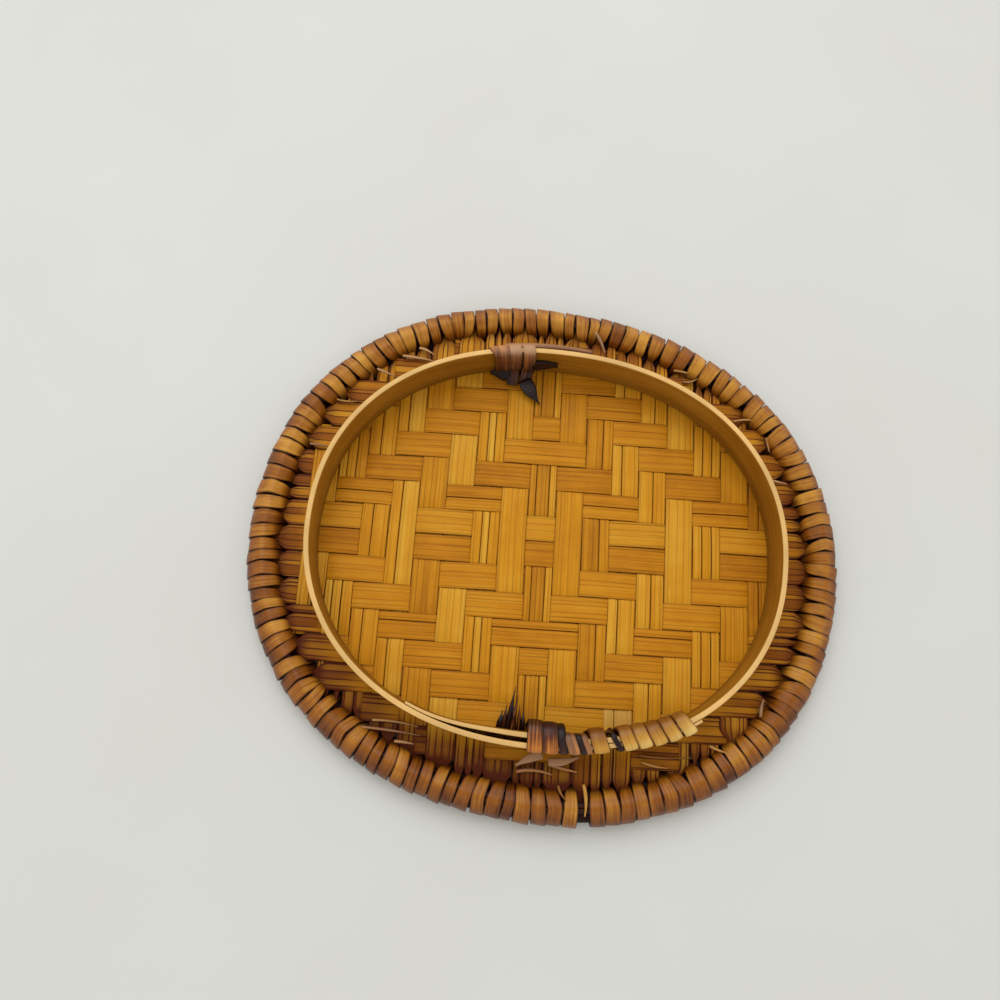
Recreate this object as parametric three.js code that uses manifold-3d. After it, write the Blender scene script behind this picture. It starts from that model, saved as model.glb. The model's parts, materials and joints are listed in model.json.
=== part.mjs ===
// Oval half of a small plaited basket, lying with its collar upward.
// A twill mat of separate bamboo splints is gripped between two rim cores, the cores are lashed with
// rattan strip that passes through the mat between the splint tips, and a bent bamboo hoop, lapped and
// bound on itself, stands on the mat as a collar and is tied down to it.
// Millimetres. +X runs along the oval and the weft, +Y along the warp, +Z up, with the origin on the
// resting face below the middle of the rim.

import * as THREE from 'three';
import { mergeVertices } from 'three/addons/utils/BufferGeometryUtils.js';
import Module from 'manifold-3d';

const wasm = await Module();
wasm.setup();

// Driving dimensions

const clearance = 0.3; // between pieces that touch

// Rim, over the lashing, and the turn of its long axis against the weft
const rimLength = 139;
const rimBreadth = 121;
const rimTurn = THREE.MathUtils.degToRad(-7.5);
const ovalPower = 2.17; // 2 makes an ellipse, and more makes fuller corners

// The two rim cores, as one packed section that the mat splits
const coreWidth = 6.2;
const lowerCoreHeight = 3.45;
const upperCoreHeight = 1.5;
const heelInset = 0.8; // lower inner corner
const toeInset = 1.4; // lower outer corner
const bellyRise = 2; // widest corner above the underside
const browInset = 1; // upper outer corner
const browDrop = 2.7; // upper outer corner below the crest
const crestInset = 2.2; // top corner from the inner face
const shoulderDrop = 1.1; // top of the inner face below the crest
const coreSteps = 64;

// Lashing strip round the rim
const lashThickness = 0.6;
const lashWidth = 2.8;
const lashPitch = 2.8;
const lashGap = 0.5; // between neighbouring stitches
const lashLengths = 4;
const lashJoin = 19; // first join, from the middle of the near side

// Mat splints
const warpPitch = 6.4;
const weftPitch = 6.1;
const splintGap = 0.6;
const splintThickness = 0.6;
const tongueWidth = 1.6; // narrowed end between the stitches
const tongueTaper = 2.5;
const tongueDepth = 3; // into the rim, from the cores' inner face
const fewestCrossings = 5; // a splint that would cross fewer others is left out
const patternX = -0.8; // middle of the twill diamonds
const patternY = 1.4;

// Collar hoop, and the turn of its long axis against the weft
const grooveEnds = 8.6; // between hoop and rim, at the ends of the oval
const grooveSides = 8.1;
const hoopTurn = THREE.MathUtils.degToRad(-3.5);
const hoopHeight = 10;
const hoopThickness = 1.2;
const lapStart = -26; // inner end, from the middle of the near side
const lapEnd = 37; // outer end
const lapEase = 22; // stretch under the binding where the inner layer comes out to the oval
const lapBow = 1; // spring of the inner layer away from the outer one
const skiveLength = 8;
const skiveThickness = 0.4;
const hoopStep = 5;

// Binding and ties of rattan strip round the hoop
const stripThickness = 0.4;
const bindingStart = 17.5; // first turn, from the middle of the near side
const bindingTurns = 6;
const bindingPitch = 3.4;
const bindingWidth = 2.9;
const bindingLean = [0, 0, 0.1, 0.2]; // of a pitch, from the inner foot of a turn over to its outer foot
const nearTieGap = 0.5; // warp gap that the tie goes through, in columns from the middle
const farTieGap = -1.5;
const tiePitch = 2.6;
const tieWidth = 2;
const tieTail = 7; // inside the hoop
const tieTailRise = 2;

// Heights of the stack, from the resting face up
const matThickness = 2 * splintThickness + clearance;
const coreUnderside = lashThickness + clearance;
const lowerCoreTop = coreUnderside + lowerCoreHeight;
const matBottom = lowerCoreTop + clearance;
const matMiddle = matBottom + matThickness / 2;
const matTop = matBottom + matThickness;
const upperCoreUnderside = matTop + clearance;
const crestHeight = upperCoreUnderside + upperCoreHeight;
const hoopBottom = matTop + 2 * clearance + stripThickness;
const hoopTop = hoopBottom + hoopHeight;

// Solids from rings of points

// Turns the triangles round where a closed mesh would face inward.
function facingOut(positions, index) {
  const corner = (k) => new THREE.Vector3().fromArray(positions, 3 * index[k]);
  let volume = 0;
  for (let k = 0; k < index.length; k += 3) {
    volume += corner(k).dot(corner(k + 1).cross(corner(k + 2)));
  }
  if (volume < 0) {
    index.reverse();
  }
  const geometry = new THREE.BufferGeometry();
  geometry.setAttribute('position', new THREE.Float32BufferAttribute(positions, 3));
  geometry.setIndex(index);
  return geometry;
}

// One body through matching rings of points. A closed chain joins its last ring to its first.
function loft(rings, closed = false) {
  const size = rings[0].length;
  const positions = rings.flat().flatMap((point) => point.toArray());
  const index = [];
  const spans = closed ? rings.length : rings.length - 1;
  for (let span = 0; span < spans; span += 1) {
    const near = span * size;
    const far = ((span + 1) % rings.length) * size;
    for (let side = 0; side < size; side += 1) {
      const next = (side + 1) % size;
      index.push(near + side, far + side, far + next);
      index.push(near + side, far + next, near + next);
    }
  }
  if (!closed) {
    const last = (rings.length - 1) * size;
    for (let side = 1; side < size - 1; side += 1) {
      index.push(0, side, side + 1);
      index.push(last, last + side + 1, last + side);
    }
  }
  return facingOut(positions, index);
}

function toSolid(geometry) {
  const bare = geometry.clone();
  bare.deleteAttribute('normal');
  bare.deleteAttribute('uv');
  const merged = mergeVertices(bare);
  return new wasm.Manifold(new wasm.Mesh({
    numProp: 3,
    vertProperties: new Float32Array(merged.attributes.position.array),
    triVerts: new Uint32Array(merged.index.array),
  }));
}

function fromSolid(solid) {
  const { vertProperties, triVerts } = solid.getMesh();
  return facingOut(Array.from(vertProperties), Array.from(triVerts));
}

// Ovals that carry the rim and the hoop

// How far out a point lies, against an oval along the axes: 1 on the oval, and less inside it.
function ovalReach(point, semiAxes) {
  const x = Math.abs(point.x / semiAxes.x) ** ovalPower;
  const y = Math.abs(point.y / semiAxes.y) ** ovalPower;
  return (x + y) ** (1 / ovalPower);
}

class OvalCurve extends THREE.Curve {
  constructor(semiAxes, turn) {
    super();
    this.semiAxes = semiAxes;
    this.turn = turn;
  }

  getPoint(share) {
    const middle = new THREE.Vector2();
    const ray = new THREE.Vector2(1, 0).rotateAround(middle, 2 * Math.PI * share);
    return ray.divideScalar(ovalReach(ray, this.semiAxes)).rotateAround(middle, this.turn);
  }
}

class Oval {
  constructor(length, breadth, turn) {
    this.semiAxes = new THREE.Vector2(length / 2, breadth / 2);
    this.turn = turn;
    this.curve = new OvalCurve(this.semiAxes, turn);
    this.perimeter = this.curve.getLength();
    this.nearMiddle = 0.75 * this.perimeter;
  }

  // Point, tangent and outward normal at a distance along the oval, from its +X end.
  frame(distance) {
    const share = THREE.MathUtils.euclideanModulo(distance / this.perimeter, 1);
    const point = this.curve.getPointAt(share);
    const tangent = this.curve.getTangentAt(share);
    return { point, tangent, normal: new THREE.Vector2(tangent.y, -tangent.x) };
  }

  // Point beside the oval: outward by out, along the tangent by aside, at height z.
  place(distance, out, z, aside = 0) {
    const { point, tangent, normal } = this.frame(distance);
    const flat = point.addScaledVector(normal, out).addScaledVector(tangent, aside);
    return new THREE.Vector3(flat.x, flat.y, z);
  }

  // Distance along the oval of the place nearest to a point.
  foot(target) {
    const local = target.clone().rotateAround(new THREE.Vector2(), -this.turn).divide(this.semiAxes);
    let distance = (Math.atan2(local.y, local.x) / (2 * Math.PI)) * this.perimeter;
    for (let pass = 0; pass < 12; pass += 1) {
      const { point, tangent } = this.frame(distance);
      distance += target.clone().sub(point).dot(tangent);
    }
    return THREE.MathUtils.euclideanModulo(distance, this.perimeter);
  }

  // Where a straight line crosses the oval drawn in by inset, as two distances along the line.
  crossings(inset, line) {
    const drawnIn = this.semiAxes.clone().subScalar(inset);
    const level = (vector) => vector.clone().rotateAround(new THREE.Vector2(), -this.turn);
    const along = level(line.direction).divide(drawnIn);
    const middle = -along.dot(level(line.start).divide(drawnIn)) / along.lengthSq();
    const isInside = (run) => (
      ovalReach(level(line.start.clone().addScaledVector(line.direction, run)), drawnIn) < 1
    );
    if (!isInside(middle)) {
      return null;
    }
    return [-1, 1].map((sign) => {
      let inside = middle;
      let outside = middle + sign * 2 * this.semiAxes.x;
      for (let pass = 0; pass < 40; pass += 1) {
        const half = (inside + outside) / 2;
        [inside, outside] = isInside(half) ? [half, outside] : [inside, half];
      }
      return inside;
    });
  }

  // Radius of the tightest bend.
  tightestRadius() {
    const steps = 360;
    const tangents = Array.from({ length: steps + 1 }, (_, k) => this.curve.getTangentAt(k / steps));
    const bends = tangents.slice(1).map((tangent, k) => tangent.angleTo(tangents[k]));
    return this.perimeter / steps / Math.max(...bends);
  }
}

// Flat sections, as corners with x outward from the oval and y up

function offsetSection(section, distance) {
  return section.map((corner, k) => {
    const before = section[(k + section.length - 1) % section.length];
    const after = section[(k + 1) % section.length];
    const entering = corner.clone().sub(before).normalize();
    const leaving = after.clone().sub(corner).normalize();
    const mitre = new THREE.Vector2(entering.y + leaving.y, -entering.x - leaving.x);
    return corner.clone().addScaledVector(mitre, distance / (1 + entering.dot(leaving)));
  });
}

// The part of a section above a height, or below it where side is -1.
function clipSection(section, height, side) {
  const kept = [];
  section.forEach((corner, k) => {
    const after = section[(k + 1) % section.length];
    const here = side * (corner.y - height);
    const there = side * (after.y - height);
    if (here > 0) {
      kept.push(corner.clone());
    }
    if (here * there < 0) {
      kept.push(corner.clone().lerp(after, here / (here - there)));
    }
  });
  return kept;
}

// Rim cores

const packedSection = [
  new THREE.Vector2(-coreWidth / 2 + heelInset, coreUnderside),
  new THREE.Vector2(coreWidth / 2 - toeInset, coreUnderside),
  new THREE.Vector2(coreWidth / 2, coreUnderside + bellyRise),
  new THREE.Vector2(coreWidth / 2 - browInset, crestHeight - browDrop),
  new THREE.Vector2(-coreWidth / 2 + crestInset, crestHeight),
  new THREE.Vector2(-coreWidth / 2, crestHeight - shoulderDrop),
];
const lashInside = offsetSection(packedSection, clearance);
const lashOutside = offsetSection(packedSection, clearance + lashThickness);
const lashReach = Math.max(...lashOutside.map((corner) => corner.x));
const lashInnerFace = -Math.min(...lashOutside.map((corner) => corner.x));
const rim = new Oval(rimLength - 2 * lashReach, rimBreadth - 2 * lashReach, rimTurn);

function coreRing(section) {
  const rings = Array.from({ length: coreSteps }, (_, step) => section.map((corner) => (
    rim.place((step / coreSteps) * rim.perimeter, corner.x, corner.y)
  )));
  return loft(rings, true);
}

// Mat splints

const warpWidth = warpPitch - splintGap;
const weftWidth = weftPitch - splintGap;
const weaveLift = (splintThickness + clearance) / 2;
const bodyInset = lashInnerFace + clearance;
const tipInset = coreWidth / 2 - tongueDepth;
const steepestEntry = Math.cos(Math.PI / 4); // flatter splints stop inside the stitches

// Concentric diamonds of 2/2 twill: columns are whole numbers, rows lie halfway between them.
function weftOnTop(column, row) {
  return (Math.abs(column) + Math.abs(row) + 0.5) % 4 < 2;
}

// Splints are counted outward from the middle of the mat.
function sideName(stem, number, before, after, count) {
  if (number === 0) {
    return `${stem}_centre`;
  }
  return `${stem}_${number < 0 ? before : after}_${count}`;
}

const warpSet = {
  pieceName: (column) => sideName('mat_warp', column, 'left', 'right', Math.abs(column)),
  width: warpWidth,
  half: 0,
  place: (column) => patternX + column * warpPitch,
  line: (x) => ({ start: new THREE.Vector2(x, 0), direction: new THREE.Vector2(0, 1) }),
  crossPlace: (row) => patternY + row * weftPitch,
  crossPitch: weftPitch,
  crossHalf: 0.5,
  side: (column, row) => (weftOnTop(column, row) ? -1 : 1),
};

const weftSet = {
  pieceName: (row) => sideName('mat_weft', row, 'near', 'far', Math.abs(row) + 0.5),
  width: weftWidth,
  half: 0.5,
  place: (row) => patternY + row * weftPitch,
  line: (y) => ({ start: new THREE.Vector2(0, y), direction: new THREE.Vector2(1, 0) }),
  crossPlace: (column) => patternX + column * warpPitch,
  crossPitch: warpPitch,
  crossHalf: 0,
  side: (row, column) => (weftOnTop(column, row) ? 1 : -1),
};

// Value at a place on a line of [place, value] stations, level beyond both ends.
function along(stations, place) {
  const next = stations.findIndex(([at]) => at > place);
  if (next <= 0) {
    return stations[next === 0 ? 0 : stations.length - 1][1];
  }
  const [from, fromValue] = stations[next - 1];
  const [to, toValue] = stations[next];
  return THREE.MathUtils.mapLinear(place, from, to, fromValue, toValue);
}

// The furthest that a strip of this width goes inside the oval drawn in by inset, at both ends.
function stripSpan(set, place, width, inset) {
  const spans = [-0.5, 0, 0.5].map((share) => rim.crossings(inset, set.line(place + share * width)));
  if (spans.includes(null)) {
    return null;
  }
  return [Math.max(...spans.map(([low]) => low)), Math.min(...spans.map(([, high]) => high))];
}

// Plan of one splint: its width stations, and the tongues that enter the rim.
function splintPlan(set, place) {
  const body = stripSpan(set, place, set.width, bodyInset);
  if (!body || body[1] - body[0] < (fewestCrossings + 0.5) * set.crossPitch) {
    return null;
  }
  const line = set.line(place);
  const neck = stripSpan(set, place, tongueWidth, bodyInset);
  const tip = rim.crossings(tipInset, line);
  const tongues = [];
  const ends = [-1, 1].map((sign, end) => {
    const tipPoint = line.start.clone().addScaledVector(line.direction, tip[end]);
    const { normal } = rim.frame(rim.foot(tipPoint));
    if (Math.abs(normal.dot(line.direction)) < steepestEntry) {
      return [[body[end], set.width]];
    }
    tongues.push(end);
    return [
      [body[end] - sign * tongueTaper, set.width],
      [neck[end], tongueWidth],
      [tip[end], tongueWidth],
    ];
  });
  return { widths: [...ends[0].reverse(), ...ends[1]], tongues };
}

// Heights of one splint as it goes over and under the splints that it crosses.
function splintHeights(set, number, low, high) {
  const stations = [];
  const level = (cross) => matMiddle + set.side(number, cross) * weaveLift;
  const first = Math.floor((low - set.crossPlace(0)) / set.crossPitch) - 1 + set.crossHalf;
  for (let cross = first; set.crossPlace(cross) < high + set.crossPitch; cross += 1) {
    if (level(cross) !== level(cross + 1)) {
      const middle = set.crossPlace(cross + 0.5);
      stations.push([middle - splintGap / 2, level(cross)]);
      stations.push([middle + splintGap / 2, level(cross + 1)]);
    }
  }
  return stations;
}

function splintGeometry(set, number, place, plan) {
  const low = plan.widths[0][0];
  const high = plan.widths.at(-1)[0];
  const heights = splintHeights(set, number, low, high);
  const bends = heights.filter(([at]) => at > low && at < high);
  const places = [...plan.widths, ...bends].map(([at]) => at).sort((a, b) => a - b);
  const line = set.line(place);
  const aside = new THREE.Vector2(line.direction.y, line.direction.x);
  const rings = places.map((at) => {
    const width = along(plan.widths, at) / 2;
    const middle = line.start.clone().addScaledVector(line.direction, at);
    const left = middle.clone().addScaledVector(aside, -width);
    const right = middle.clone().addScaledVector(aside, width);
    const bottom = along(heights, at) - splintThickness / 2;
    const top = bottom + splintThickness;
    return [
      new THREE.Vector3(left.x, left.y, bottom),
      new THREE.Vector3(right.x, right.y, bottom),
      new THREE.Vector3(right.x, right.y, top),
      new THREE.Vector3(left.x, left.y, top),
    ];
  });
  return loft(rings);
}

function layOutSplints(set) {
  const splints = [];
  const reach = Math.ceil(rimLength / warpPitch);
  for (let number = set.half - reach; number <= reach; number += 1) {
    const place = set.place(number);
    const plan = splintPlan(set, place);
    if (plan) {
      splints.push({ set, number, place, plan });
    }
  }
  return splints;
}

const splints = [...layOutSplints(warpSet), ...layOutSplints(weftSet)];

// Stitches of the lashing, between the tongues

// The stretch of the rim that a tongue takes up where the stitches pass through the mat.
function tongueStretch({ set, place, plan }, end) {
  const edges = [-tongueWidth / 2, tongueWidth / 2];
  const feet = edges.flatMap((edge) => [bodyInset, coreWidth / 2].map((inset) => {
    const line = set.line(place + edge);
    const reach = rim.crossings(inset, line)[end];
    return rim.foot(line.start.clone().addScaledVector(line.direction, reach));
  }));
  const shifts = feet.map((foot) => (
    THREE.MathUtils.euclideanModulo(foot - feet[0] + rim.perimeter / 2, rim.perimeter) - rim.perimeter / 2
  ));
  const low = feet[0] + Math.min(...shifts) - clearance;
  const high = feet[0] + Math.max(...shifts) + clearance;
  return { low, high, middle: (low + high) / 2 };
}

const innerShrink = 1 - lashInnerFace / rim.tightestRadius();

// Even stitches in each free stretch between two tongues, in order round the rim.
function layOutStitches() {
  const stretches = splints.flatMap((splint) => splint.plan.tongues.map((end) => tongueStretch(splint, end)));
  stretches.sort((a, b) => a.middle - b.middle);
  const stitches = [];
  stretches.forEach((stretch, k) => {
    const wrap = k + 1 === stretches.length ? rim.perimeter : 0;
    const after = stretches[(k + 1) % stretches.length];
    const free = after.low + wrap - stretch.high;
    const wanted = Math.round((after.middle + wrap - stretch.middle) / lashPitch);
    const count = Math.min(wanted, Math.floor((free * innerShrink) / (2 * lashGap + clearance)));
    for (let stitch = 0; stitch < count; stitch += 1) {
      const cell = free / count;
      const inner = stretch.high + (stitch + 0.5) * cell;
      stitches.push({ inner, innerWidth: Math.min(cell * innerShrink - lashGap, lashWidth) });
    }
  });
  return stitches;
}

// The outer runs are evened out over their neighbours, so that the visible rows lie regularly.
function evenOutStitches(stitches) {
  const count = stitches.length;
  const lapped = (k, key) => stitches[(k + count) % count][key] + Math.floor(k / count) * rim.perimeter;
  stitches.forEach((stitch, k) => {
    const around = [-2, -1, 0, 1, 2].map((step) => lapped(k + step, 'inner'));
    stitch.outer = around.reduce((sum, place) => sum + place, 0) / around.length;
  });
  stitches.forEach((stitch, k) => {
    stitch.advance = lapped(k + 1, 'outer') - stitch.outer;
    const before = stitch.outer - lapped(k - 1, 'outer');
    stitch.outerWidth = Math.min(Math.min(before, stitch.advance) - lashGap, lashWidth);
    stitch.next = lapped(k + 1, 'inner');
  });
  return stitches;
}

// One flat corner of a strand that is wound round a section on an oval.
function strandRing(oval, { at, inside, outside, width }) {
  return [
    oval.place(at, inside.x, inside.y, -width / 2),
    oval.place(at, inside.x, inside.y, width / 2),
    oval.place(at, outside.x, outside.y, width / 2),
    oval.place(at, outside.x, outside.y, -width / 2),
  ];
}

const woundStrand = (oval, corners) => loft(corners.map((corner) => strandRing(oval, corner)));

const [heel, toe, belly, brow, crest, shoulder] = packedSection.map((_, k) => (
  { inside: lashInside[k], outside: lashOutside[k] }
));

// A stitch comes up through the mat, over the crest, down the outside and back under the rim.
function stitchCorners({ inner, innerWidth, outer, outerWidth, advance }) {
  return [
    { ...heel, at: inner, width: innerWidth },
    { ...shoulder, at: inner, width: innerWidth },
    { ...crest, at: outer, width: outerWidth },
    { ...brow, at: outer + 0.1 * advance, width: outerWidth },
    { ...belly, at: outer + 0.25 * advance, width: outerWidth },
    { ...toe, at: outer + 0.5 * advance, width: outerWidth },
  ];
}

// The end of a length is tucked halfway under the rim.
function tuckedEnd({ outer, advance, next, outerWidth }) {
  return {
    at: (outer + 0.5 * advance + next) / 2,
    inside: toe.inside.clone().lerp(heel.inside, 0.5),
    outside: toe.outside.clone().lerp(heel.outside, 0.5),
    width: outerWidth,
  };
}

function lashingLengths() {
  const stitches = evenOutStitches(layOutStitches());
  const join = rim.nearMiddle + lashJoin;
  const first = stitches.findIndex(({ inner }) => inner > join);
  const ordered = [...stitches.slice(first), ...stitches.slice(0, first)];
  return Array.from({ length: lashLengths }, (_, k) => {
    const from = Math.round((k * ordered.length) / lashLengths);
    const to = Math.round(((k + 1) * ordered.length) / lashLengths);
    const run = ordered.slice(from, to);
    return woundStrand(rim, [...run.flatMap(stitchCorners), tuckedEnd(run.at(-1))]);
  });
}

// Collar hoop, one strip that laps itself on the near side

const rimBand = lashReach + lashInnerFace;
const hoopLength = rimLength - 2 * (rimBand + grooveEnds);
const hoopBreadth = rimBreadth - 2 * (rimBand + grooveSides);
const hoop = new Oval(hoopLength, hoopBreadth, hoopTurn);
const lapLength = lapEnd - lapStart;

// Distance along the hoop where it passes over a gap between two warp splints, on the near or far side.
function hoopOverGap(gap, end) {
  const line = warpSet.line(warpSet.place(gap));
  const reach = hoop.crossings(0, line)[end];
  return hoop.foot(line.start.clone().addScaledVector(line.direction, reach));
}

const nearTieAt = hoopOverGap(nearTieGap, 0);
const farTieAt = hoopOverGap(farTieGap, 1);
const bowEnd = nearTieAt - hoop.nearMiddle - 2.5 * tiePitch;

// Space between the two layers of the lap, at a distance from the middle of the near side.
function lapGap(from) {
  const share = THREE.MathUtils.clamp((from - lapStart) / (bowEnd - lapStart), 0, 1);
  return clearance + lapBow * Math.sin(Math.PI * share) ** 2;
}

// How far the two layers shift outward together towards the outer end of the lap.
function lapShift(from) {
  return (hoopThickness + clearance) * THREE.MathUtils.smoothstep(from, lapEnd - lapEase, lapEnd);
}

// The strip's outer face, against the oval, at a distance from its inner end.
function hoopFace(run) {
  if (run > lapLength) {
    return lapShift(lapStart + run - hoop.perimeter);
  }
  return lapShift(lapStart + run) - hoopThickness - lapGap(lapStart + run);
}

function hoopGeometry() {
  const length = hoop.perimeter + lapLength;
  const steps = Math.ceil(length / hoopStep);
  const rings = Array.from({ length: steps + 1 }, (_, step) => {
    const run = (step / steps) * length;
    const fromEnd = Math.min(run, length - run);
    const share = THREE.MathUtils.clamp(fromEnd / skiveLength, 0, 1);
    const thickness = THREE.MathUtils.lerp(skiveThickness, hoopThickness, share);
    const outer = hoopFace(run) - (run > lapLength ? hoopThickness - thickness : 0);
    const inner = hoopFace(run) - (run > lapLength ? hoopThickness : thickness);
    const at = hoop.nearMiddle + lapStart + run;
    return [
      hoop.place(at, outer, hoopBottom),
      hoop.place(at, outer, hoopTop),
      hoop.place(at, inner, hoopTop),
      hoop.place(at, inner, hoopBottom),
    ];
  });
  return loft(rings);
}

// Binding and ties round the hoop

// Corners of a strip pulled round a hoop stack that goes in by depth, down to a lower edge.
function stripRound(depth, lowest) {
  const section = [
    new THREE.Vector2(-depth, lowest),
    new THREE.Vector2(0, lowest),
    new THREE.Vector2(0, hoopTop),
    new THREE.Vector2(-depth, hoopTop),
  ];
  const inside = offsetSection(section, clearance);
  const outside = offsetSection(section, clearance + stripThickness);
  const [innerFoot, outerFoot, outerTop, innerTop] = section.map((_, k) => (
    { inside: inside[k], outside: outside[k] }
  ));
  return { innerFoot, outerFoot, outerTop, innerTop };
}

const singleDepth = hoopThickness;
const lapDepth = 2 * hoopThickness + clearance;

function bindingGeometry() {
  const { innerFoot, outerFoot, outerTop, innerTop } = stripRound(lapDepth, hoopBottom);
  const corners = [];
  for (let turn = 0; turn < bindingTurns; turn += 1) {
    const at = hoop.nearMiddle + bindingStart + turn * bindingPitch;
    const shift = new THREE.Vector2(lapShift(at - hoop.nearMiddle), 0);
    [innerFoot, innerTop, outerTop, outerFoot].forEach(({ inside, outside }, corner) => corners.push({
      at: at + bindingLean[corner] * bindingPitch,
      inside: inside.clone().add(shift),
      outside: outside.clone().add(shift),
      width: bindingWidth,
    }));
  }
  return woundStrand(hoop, corners);
}

// A tail lies out over the mat and lifts towards its tip. The hoop side of the strip is underneath.
function tailCorners(foot, length) {
  const bottom = matTop + clearance;
  const bend = {
    inside: new THREE.Vector2(foot.inside.x, bottom),
    outside: new THREE.Vector2(foot.outside.x, bottom + stripThickness),
  };
  const tipX = foot.outside.x + length;
  const tip = {
    inside: new THREE.Vector2(tipX, bottom + tieTailRise),
    outside: new THREE.Vector2(tipX, bottom + tieTailRise + stripThickness),
  };
  return { bend, tip };
}

// The turns of a tie. The last two straddle the gap between two warp splints.
const tiePlaces = (gapAt) => [gapAt - 1.5 * tiePitch, gapAt - 0.5 * tiePitch, gapAt + 0.5 * tiePitch];

// Three turns of one strip. The second goes down through the mat outside the hoop and comes up inside it.
function tieGeometry(gapAt, depth) {
  const round = stripRound(depth, hoopBottom);
  const through = stripRound(depth, matBottom);
  const innerTail = tailCorners(round.innerFoot, -tieTail);
  const outerTail = tailCorners(round.outerFoot, grooveSides / 2);
  const [first, second, third] = tiePlaces(gapAt);
  const route = [
    [innerTail.tip, first], [innerTail.bend, first], [round.innerTop, first], [round.outerTop, first],
    [round.outerFoot, first], [round.innerFoot, second],
    [round.innerTop, second], [round.outerTop, second],
    [through.outerFoot, second], [through.innerFoot, third],
    [round.innerTop, third], [round.outerTop, third], [outerTail.bend, third], [outerTail.tip, third],
  ];
  return woundStrand(hoop, route.map(([corner, place]) => ({ ...corner, at: place, width: tieWidth })));
}

// The two notches that let a tie through the mat. Each opens into the warp gap on one side and into the
// nearest gap between two weft splints on the other.
function tieNotches(gapAt, depth) {
  const { innerFoot, outerFoot } = stripRound(depth, matBottom);
  const [, second, third] = tiePlaces(gapAt);
  return [[innerFoot, third], [outerFoot, second]].map(([foot, place]) => {
    const centre = hoop.place(place, (foot.inside.x + foot.outside.x) / 2, matMiddle);
    const weftGap = weftSet.place(Math.round((centre.y - patternY) / weftPitch));
    const room = stripThickness / 2 + 2 * clearance;
    const low = Math.min(centre.y - room, weftGap);
    const high = Math.max(centre.y + room, weftGap);
    const notch = new THREE.BoxGeometry(tiePitch + clearance, high - low, 2 * matThickness);
    notch.translate(centre.x, (low + high) / 2, centre.z);
    notch.computeBoundingBox();
    return notch;
  });
}

const ties = [
  { name: 'tie_near', gapAt: nearTieAt, depth: lapDepth },
  { name: 'tie_far', gapAt: farTieAt, depth: singleDepth },
];
const notches = ties.flatMap(({ gapAt, depth }) => tieNotches(gapAt, depth));

function notched(geometry) {
  geometry.computeBoundingBox();
  const met = notches.filter((notch) => notch.boundingBox.intersectsBox(geometry.boundingBox));
  if (met.length === 0) {
    return geometry;
  }
  const solid = met.reduce((rest, notch) => rest.subtract(toSolid(notch)), toSolid(geometry));
  return fromSolid(solid);
}

// Materials

const finish = (color, roughness) => new THREE.MeshStandardMaterial({
  color, roughness, metalness: 0, flatShading: true,
});
const matWeftBamboo = finish(0xbe872d, 0.5);
const matWarpBamboo = finish(0xc7953f, 0.5);
const coreCane = finish(0x9a6a36, 0.6);
const lashRattan = finish(0x96642f, 0.35);
const hoopBamboo = finish(0xc99a55, 0.5);
const bindingRattan = finish(0xd7a546, 0.45);
const tieRattan = finish(0x5e3524, 0.5);

// Assembly

const basketHalf = new THREE.Group();

function addPiece(group, name, geometry, material) {
  const mesh = new THREE.Mesh(geometry, material);
  mesh.name = name;
  group.add(mesh);
}

const mat = new THREE.Group();
for (const [set, material] of [[warpSet, matWarpBamboo], [weftSet, matWeftBamboo]]) {
  splints.filter((splint) => splint.set === set).forEach(({ number, place, plan }) => {
    addPiece(mat, set.pieceName(number), notched(splintGeometry(set, number, place, plan)), material);
  });
}
basketHalf.add(mat);

const edge = new THREE.Group();
addPiece(edge, 'rim_core_lower', coreRing(clipSection(packedSection, lowerCoreTop, -1)), coreCane);
addPiece(edge, 'rim_core_upper', coreRing(clipSection(packedSection, upperCoreUnderside, 1)), coreCane);
lashingLengths().forEach((geometry, k) => addPiece(edge, `rim_lashing_${k + 1}`, geometry, lashRattan));
basketHalf.add(edge);

const collar = new THREE.Group();
addPiece(collar, 'collar_hoop', hoopGeometry(), hoopBamboo);
addPiece(collar, 'hoop_binding', bindingGeometry(), bindingRattan);
ties.forEach(({ name, gapAt, depth }) => addPiece(collar, name, tieGeometry(gapAt, depth), tieRattan));
basketHalf.add(collar);

export default basketHalf;
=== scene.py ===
import json
import math
import random

import bpy
import numpy as np
from mathutils import Matrix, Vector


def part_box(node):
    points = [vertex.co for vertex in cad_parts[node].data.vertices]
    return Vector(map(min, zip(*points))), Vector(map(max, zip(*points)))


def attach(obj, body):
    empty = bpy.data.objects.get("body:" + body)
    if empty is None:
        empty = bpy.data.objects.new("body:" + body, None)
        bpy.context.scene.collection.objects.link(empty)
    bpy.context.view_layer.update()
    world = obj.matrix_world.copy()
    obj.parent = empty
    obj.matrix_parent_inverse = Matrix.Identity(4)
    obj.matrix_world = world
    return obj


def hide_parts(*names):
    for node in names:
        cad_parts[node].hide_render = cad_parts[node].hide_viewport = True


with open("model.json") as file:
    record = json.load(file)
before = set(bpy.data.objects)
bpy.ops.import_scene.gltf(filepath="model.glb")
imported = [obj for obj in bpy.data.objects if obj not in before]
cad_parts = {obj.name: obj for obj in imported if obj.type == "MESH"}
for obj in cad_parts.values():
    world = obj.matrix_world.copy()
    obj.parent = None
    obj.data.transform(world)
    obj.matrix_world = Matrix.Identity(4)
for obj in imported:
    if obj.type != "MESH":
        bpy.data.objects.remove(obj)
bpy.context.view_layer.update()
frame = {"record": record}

# Oval half of a small plaited basket: a twill mat of bamboo splints, a rim lashed with rattan, and a bent
# bamboo hoop tied on as a collar. Sizes are in millimetres and become metres where a mesh is made.

MM = 0.001
UP = np.array([0.0, 0.0, 1.0])

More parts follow.
